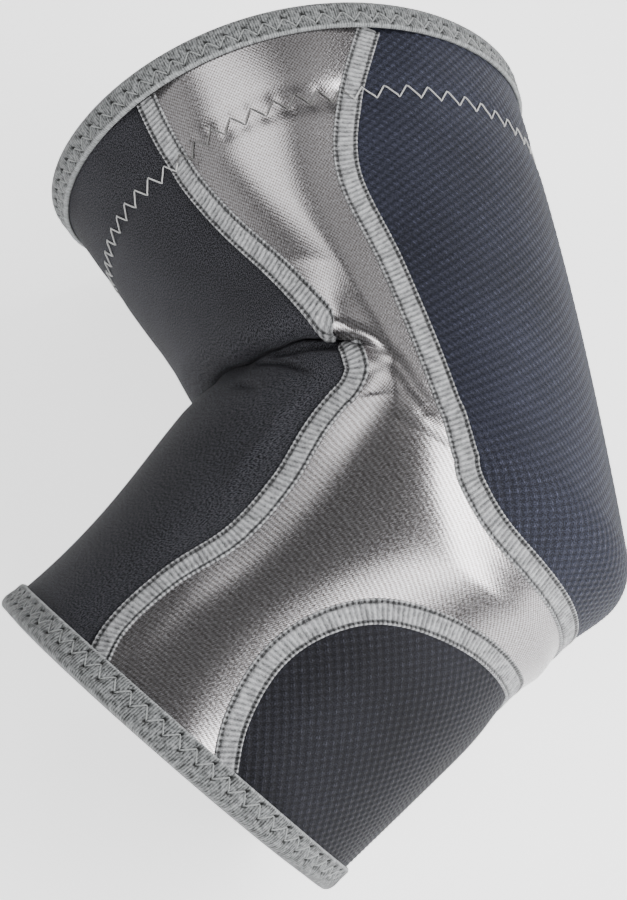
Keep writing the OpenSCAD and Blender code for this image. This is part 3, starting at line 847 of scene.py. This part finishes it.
def seamRelief(u, v):
    # height of the cover stitch, u across and v along, in mm
    off = np.abs(u)
    rung = np.abs(np.cos((v + u * seamLook["lean"]) / seamLook["rung"] * math.pi))
    ladder = 1 - ease((off - seamLook["ladder"] + 0.25) / 0.4)
    crown = 1 - (off / seamLook["ladder"]) ** 2 * 0.3
    rows = bell(off - seamLook["ridge"], 0.26)
    height = seamLook["bed"] + ladder * crown * (seamLook["rise"] - 0.3 + 0.3 * rung)
    edge = ease((off - seamLook["half"] + 0.2) / 0.2)
    return height + rows * (0.08 + 0.16 * rung) - seamLook["sunk"] * edge


def rounded(distance, reach):
    # width of a round end, as a share
    return np.sqrt(np.clip(1 - (1 - np.clip(distance / reach, 0, 1)) ** 2, 0.02, 1))


def sewSeam(name, line, roundStart=False, roundEnd=False):
    # the ribbon of stitches over a seam, closed on the inside of the wall
    path, at = evenPath(line, seamLook["rung"] / 5)
    spots = skin(*path.T)
    way = unit(smoothed(np.gradient(spots, axis=0), seamLook["smooth"]))
    side = unit(np.cross(smoothed(outwardAt(*path.T), seamLook["smooth"]), way))
    width = np.ones(len(path))
    if roundStart:
        width *= rounded(at, seamLook["roundStart"])
    if roundEnd:
        width *= rounded(at[-1] - at, seamLook["roundEnd"])
    half, sunk, tops = seamLook["half"], seamLook["sunk"], seamLook["topColumns"]
    across = np.concatenate([np.linspace(-half, half, tops),
                             np.linspace(half - 0.2, 0.2 - half, seamLook["underColumns"])])
    bm, column, row = newGrid(len(across), len(path) - 1)
    column = column % len(across)
    x = across[column] * width[row]
    t, a = onSkin(spots[row] + side[row] * x[:, None], *path[row].T)
    relief = (seamRelief(across[column], at[row]) + sunk) * width[row] ** 0.5 - sunk
    lift = np.where(column < tops, relief, -wall - seamLook["under"])
    points = clothPoint(t, a, gap=np.abs(x), reach=seamGroove["satin"], lift=lift)
    outward = outwardAt(t, a) * (column < tops - 1)[:, None]
    besideStitches = 4.0
    uv = np.column_stack([np.where(column < tops, across[column], besideStitches), at[row]])
    return makePiece(name, bm, points, uv, outward, [finishes["seam"]], cap=True)


def offBindings(line):
    # what lies outside the bindings, and 1 mm under their edges
    t, a = line.T
    depth = bandLook["width"] - 1
    return line[(t > fromEdge(0, a, depth)) & (t < fromEdge(1, a, depth))]


# flatlock seams; the front ones stop at the crook
seams = {}
for side, turn in (("Outer", lambda line: line), ("Inner", mirrored)):
    upper, lower = (offBindings(turn(through(seamLines[key], 300))) for key in ("frontUpper", "frontLower"))
    upper, lower = upper[upper[:, 0] < seamLook["upperEnd"]], lower[lower[:, 0] > seamLook["lowerStart"]]
    seams["frontSeamUpper" + side] = sewSeam("frontSeamUpper" + side, upper, roundEnd=True)
    seams["frontSeamLower" + side] = sewSeam("frontSeamLower" + side, lower, roundStart=True)
for key in ("elbowBack", "forearmBack"):
    seams[key + "Seam"] = sewSeam(key + "Seam", offBindings(wholeBack(through(seamLines[key], 400))))
print("seams", {n: len(o.data.polygons) for n, o in seams.items()})


def bindEdge(name, edge, thickness):
    # tape folded over an edge; v of its map is the distance from the rim on the outside
    w, g, tape, pitch = (bandLook[key] for key in ("width", "gap", "tape", "pitch"))
    rim, shoulder, slope = rims[edge], bandLook["shoulder"], bandLook["slope"]
    lip = [(w - 0.02, g - 0.1), (w, g + 0.35 * tape), (w - 0.3, g + 0.8 * tape)]
    outer = lip + [(d, g + tape) for d in np.linspace(w - slope, rim + shoulder, 22)]
    turnOver = []
    for x in np.linspace(0.25, math.pi - 0.25, 12):
        ahead = max(0, 1 - x / math.pi * 2)
        d = rim - math.sin(x) * (tape + g) * 1.1 + 0.6 * ahead
        turnOver.append((d, (g + tape) * math.cos(x) - (0 if ahead else thickness)))
    inner = [(d, -thickness - g - tape) for d in np.linspace(rim + shoulder, w - slope, 8)]
    inner += [(d, -thickness - lift) for d, lift in lip[::-1]]
    hidden = [(rim - g * 0.5, -thickness), (rim - g * 0.5, 0)]
    profile = np.array(outer + turnOver + inner + hidden)
    stitches = int(round(girths[edge] / pitch))
    steps = stitches * bandLook["stitchSteps"]
    bm, column, row = newGrid(steps, len(profile))
    a = column / steps * 360.0
    d, lift = profile[row % len(profile)].T
    s = column / steps * stitches * pitch
    onTop = (row >= len(lip) - 1) & (row < len(outer))
    phase = np.abs((s / pitch) % 1 - 0.5) * 2
    near, far = w - bandLook["near"], w - bandLook["far"]
    press = bandLook["press"] * bell(d - (far + (near - far) * phase), bandLook["pressReach"])
    hole = 0
    for distance, shift in ((near, 0.5), (far, 0.0)):
        beside = ((s / pitch + shift) % 1 - 0.5) * pitch
        spread = ((d - distance) ** 2 + beside ** 2) / bandLook["holeSpread"]
        hole = hole + bandLook["hole"] * np.exp(-spread)
    swell = np.cos(s / pitch * 2 * math.pi) * bell(d - rim - shoulder, bandLook["swellReach"])
    lift = lift + onTop * (bandLook["swell"] * swell - press - hole)
    points = skin(fromEdge(edge, a, d), a, lift)
    outward = outwardAt(fromEdge(edge, a, 1.0), a)
    outward[(row <= len(lip)) | (row >= len(outer) - len(lip))] = 0
    inside = (lift < -thickness / 2) & (row < len(profile))
    uv = np.column_stack([s, np.where(inside, -d, d)])
    return makePiece(name, bm, points, uv, outward, [finishes["tape"]])


# the elastic band behind the zigzag, which shows only inside
gripLook = {"depth": 25.0, "thickness": 1.0, "gap": 0.3, "ridge": 0.25, "ridgePitch": 3.2, "margin": 0.6,
            "ridgeSteps": 36, "steps": 240, "girth": 322, "sag": 0.9, "sagOver": 10}
topBinding = bindEdge("topBinding", 0, wall + gripLook["thickness"] + gripLook["gap"])
bottomBinding = bindEdge("bottomBinding", 1, wall)
print("bindings", len(topBinding.data.polygons), len(bottomBinding.data.polygons))

# dip is how deep a stitch goes in at its ends, over how much it rises on a seam, in mm
threads = {"sides": 6, "steps": 16, "turn": 2.0}
bindingThread = {"radius": 0.19, "sunk": 0.36, "dip": 0.4, "sharp": 6}
gripThread = {"radius": 0.18, "raised": 0.24, "dip": 0.35, "sharp": 8, "over": 0.75, "overFrom": 1.6,
              "overFade": 1.2}


def runThread(name, points, normals, radius, materials, pick=None):
    # a round thread along a closed line of points
    n, sides = len(points), threads["sides"]
    bm, column, row = newGrid(n, sides)
    way = unit(np.roll(points, -1, axis=0) - np.roll(points, 1, axis=0))
    side = unit(np.cross(way, normals))
    up = np.cross(side, way)
    angle = row / sides * 2 * math.pi
    i = column % n
    out = side[i] * np.cos(angle)[:, None] + up[i] * np.sin(angle)[:, None]
    length = running(np.vstack([points, points[:1]]))
    uv = np.column_stack([length[column], row / sides * threads["turn"]])
    piece = makePiece(name, bm, points[i] + out * radius, uv, out, materials)
    if pick is not None:
        for f in piece.data.polygons:
            f.material_index = pick(f.center / mm)
    return piece


def zigzag(stitches, thread):
    # swing from 0 to 1, degrees round and depth, along a zigzag thread
    phase = np.arange(stitches * threads["steps"]) / threads["steps"]
    swing = np.abs((phase % 1) - 0.5) * 2
    return swing, phase / stitches * 360, thread["dip"] * (np.abs(swing - 0.5) * 2) ** thread["sharp"]


def bindingStitch(name, edge):
    swing, a, dip = zigzag(int(round(girths[edge] / bandLook["pitch"])), bindingThread)
    d = bandLook["width"] - bandLook["far"] + (bandLook["far"] - bandLook["near"]) * swing
    lift = bandLook["gap"] + bandLook["tape"] - bindingThread["sunk"] - dip
    t = fromEdge(edge, a, d)
    points = skin(t, a, lift)
    normals = unit(skin(t, a, lift + 1) - points)
    return runThread(name, points, normals, bindingThread["radius"], [finishes["grey"]])


topStitching = bindingStitch("topBindingStitching", 0)
bottomStitching = bindingStitch("bottomBindingStitching", 1)


def gripStitch():
    swing, a, dip = zigzag(gripLine["stitches"], gripThread)
    t = fromEdge(0, a, gripLine["distance"] + (swing - 0.5) * gripLine["swing"])
    a = np.where(a > 180, a - 360, a)
    gap = seamDistance(t, a)
    risingPart = slice(0, 40)
    edgeFront = np.interp(t, *sewn["frontUpper"].T)
    edgeBack = np.interp(t, *sewn["elbowBack"][risingPart].T)
    onSatin = (np.abs(a) > edgeBack) & (np.abs(a) < edgeFront)
    kind = {"gap": gap, "reach": np.where(onSatin, seamGroove["satin"], seamGroove["plain"]),
            "puckers": np.where(onSatin, gripLine["pucker"], 0.0)}
    normals = clothNormal(t, a, **kind)
    over = gripThread["over"] * (1 - ease((gap - gripThread["overFrom"]) / gripThread["overFade"]))
    points = clothPoint(t, a, **kind) + normals * (gripThread["raised"] + over - dip)[:, None]

    def bySide(p):
        return int(onSatin[int(np.argmin(((points - np.array(p)) ** 2).sum(1)))])

    # on the satin the white thread takes the darkened finish, painted shade of its puckers and slits
    return runThread("gripStitching", points, normals, gripThread["radius"],
                     [finishes["white"], finishes["shadedWhite"]], pick=bySide)


gripStitching = gripStitch()


def gripRing():
    depth, margin, steps, count = (gripLook[key] for key in ("depth", "margin", "steps", "ridgeSteps"))
    outside = -wall - gripLook["gap"]
    inside = outside - gripLook["thickness"]
    ridges = np.linspace(margin, depth - margin, count)
    waves = inside - gripLook["ridge"] * np.cos(ridges / gripLook["ridgePitch"] * 2 * math.pi)
    profile = np.array([(0, outside), (0, inside), *zip(ridges, waves), (depth, inside), (depth, outside)])
    bm, column, row = newGrid(steps, len(profile))
    a = column / steps * 360.0
    d, lift = profile[row % len(profile)].T
    t = fromEdge(0, a, d)
    points = skin(t, a, lift - gripLook["sag"] * ease(d / gripLook["sagOver"]))
    uv = np.column_stack([column / steps * gripLook["girth"], d])
    inward = unit(skin(t, a, -1.0) - skin(t, a, 0.0))
    inward[(row < 3) | (row >= count)] = 0
    return makePiece("gripBand", bm, points, uv, inward, [finishes["grip"]])


gripBand = gripRing()
print("threads and grip band done")


def overElbow(piece):
    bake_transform(piece)


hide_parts("front_panel_upper", "front_panel_lower")
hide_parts("side_panel_upper_outer", "side_panel_upper_inner", "side_panel_lower")
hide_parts("elbow_back_panel")
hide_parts("forearm_back_panel")
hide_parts("front_seam_upper_outer", "front_needle_rows_upper")
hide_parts("front_seam_upper_inner")
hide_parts("front_seam_lower_outer", "front_needle_rows_lower")
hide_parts("front_seam_lower_inner")
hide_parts("elbow_back_seam", "elbow_back_needle_rows")
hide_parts("forearm_back_seam", "forearm_back_needle_rows")
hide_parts("top_binding")
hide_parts("top_binding_stitching")
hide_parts("bottom_binding")
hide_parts("bottom_binding_stitching")
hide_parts("grip_band")
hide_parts("grip_band_stitching")

for piece in (frontPanel, satinPanel, elbowBackPanel, forearmBackPanel, gripBand, gripStitching,
              *seams.values()):
    overElbow(piece)
for piece in (topBinding, topStitching):
    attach(piece, "upper_sleeve")
for piece in (bottomBinding, bottomStitching):
    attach(piece, "forearm_sleeve")

studio = {
    "world": (0.95, 0.97, 1.0), "worldStrength": 0.1,
    "lamps": [
        # name, radiance, size, degrees right and up from the camera as the part sees it, distance, aim
        ("right", 15.0, (0.38, 1.04), (50, 14), 0.9, (0, 0)),
        ("rightLow", 8.0, (0.3, 0.42), (27, -24), 0.9, (0, 0)),
        ("leftTop", 3.8, (0.07, 0.09), (-34, 45), 0.156, (0, 0.04)),
        ("top", 0.7, (0.5, 0.3), (22, 55), 0.9, (0, 0)),
        ("left", 0.8, (0.4, 1.0), (-72, 30), 0.9, (0, 0)),
        ("leftLow", 7.0, (0.6, 0.5), (-52, -38), 0.9, (0, 0)),
    ],
}


def lightStudio():
    world = bpy.data.worlds.new("studio")
    world.use_nodes = True
    ground = next(n for n in world.node_tree.nodes if n.type == "BACKGROUND")
    ground.inputs[0].default_value = (*studio["world"], 1)
    ground.inputs[1].default_value = studio["worldStrength"]
    bpy.context.scene.world = world
    aim = Vector(shot["target"])
    for name, radiance, size, (across, rise), away, (r, u) in studio["lamps"]:
        data = bpy.data.lights.new(name, "AREA")
        data.shape = "RECTANGLE"
        data.size, data.size_y = size
        data.energy = radiance * math.pi * size[0] * size[1]
        lamp = bpy.data.objects.new(name, data)
        way = viewRight * math.tan(math.radians(across)) + viewUp * math.tan(math.radians(rise)) + viewBack
        way.normalize()
        side = viewUp.cross(way).normalized()
        turn = Matrix((side, way.cross(side), way)).transposed().to_4x4()
        lamp.matrix_world = Matrix.Translation(aim + viewRight * r + viewUp * u + way * away) @ turn
        bpy.context.collection.objects.link(lamp)


lightStudio()
floorGrid = {"cells": 8, "reach": 3.0}
bm = bmesh.new()
cells = floorGrid["cells"]
bmesh.ops.create_grid(bm, x_segments=cells, y_segments=cells, size=floorGrid["reach"])
floorMesh = bpy.data.meshes.new("floor")
bm.to_mesh(floorMesh)
bm.free()
floorMesh.materials.append(finishes["floor"])
floor = bpy.data.objects.new("floor", floorMesh)
bpy.context.collection.objects.link(floor)
print("studio lit")
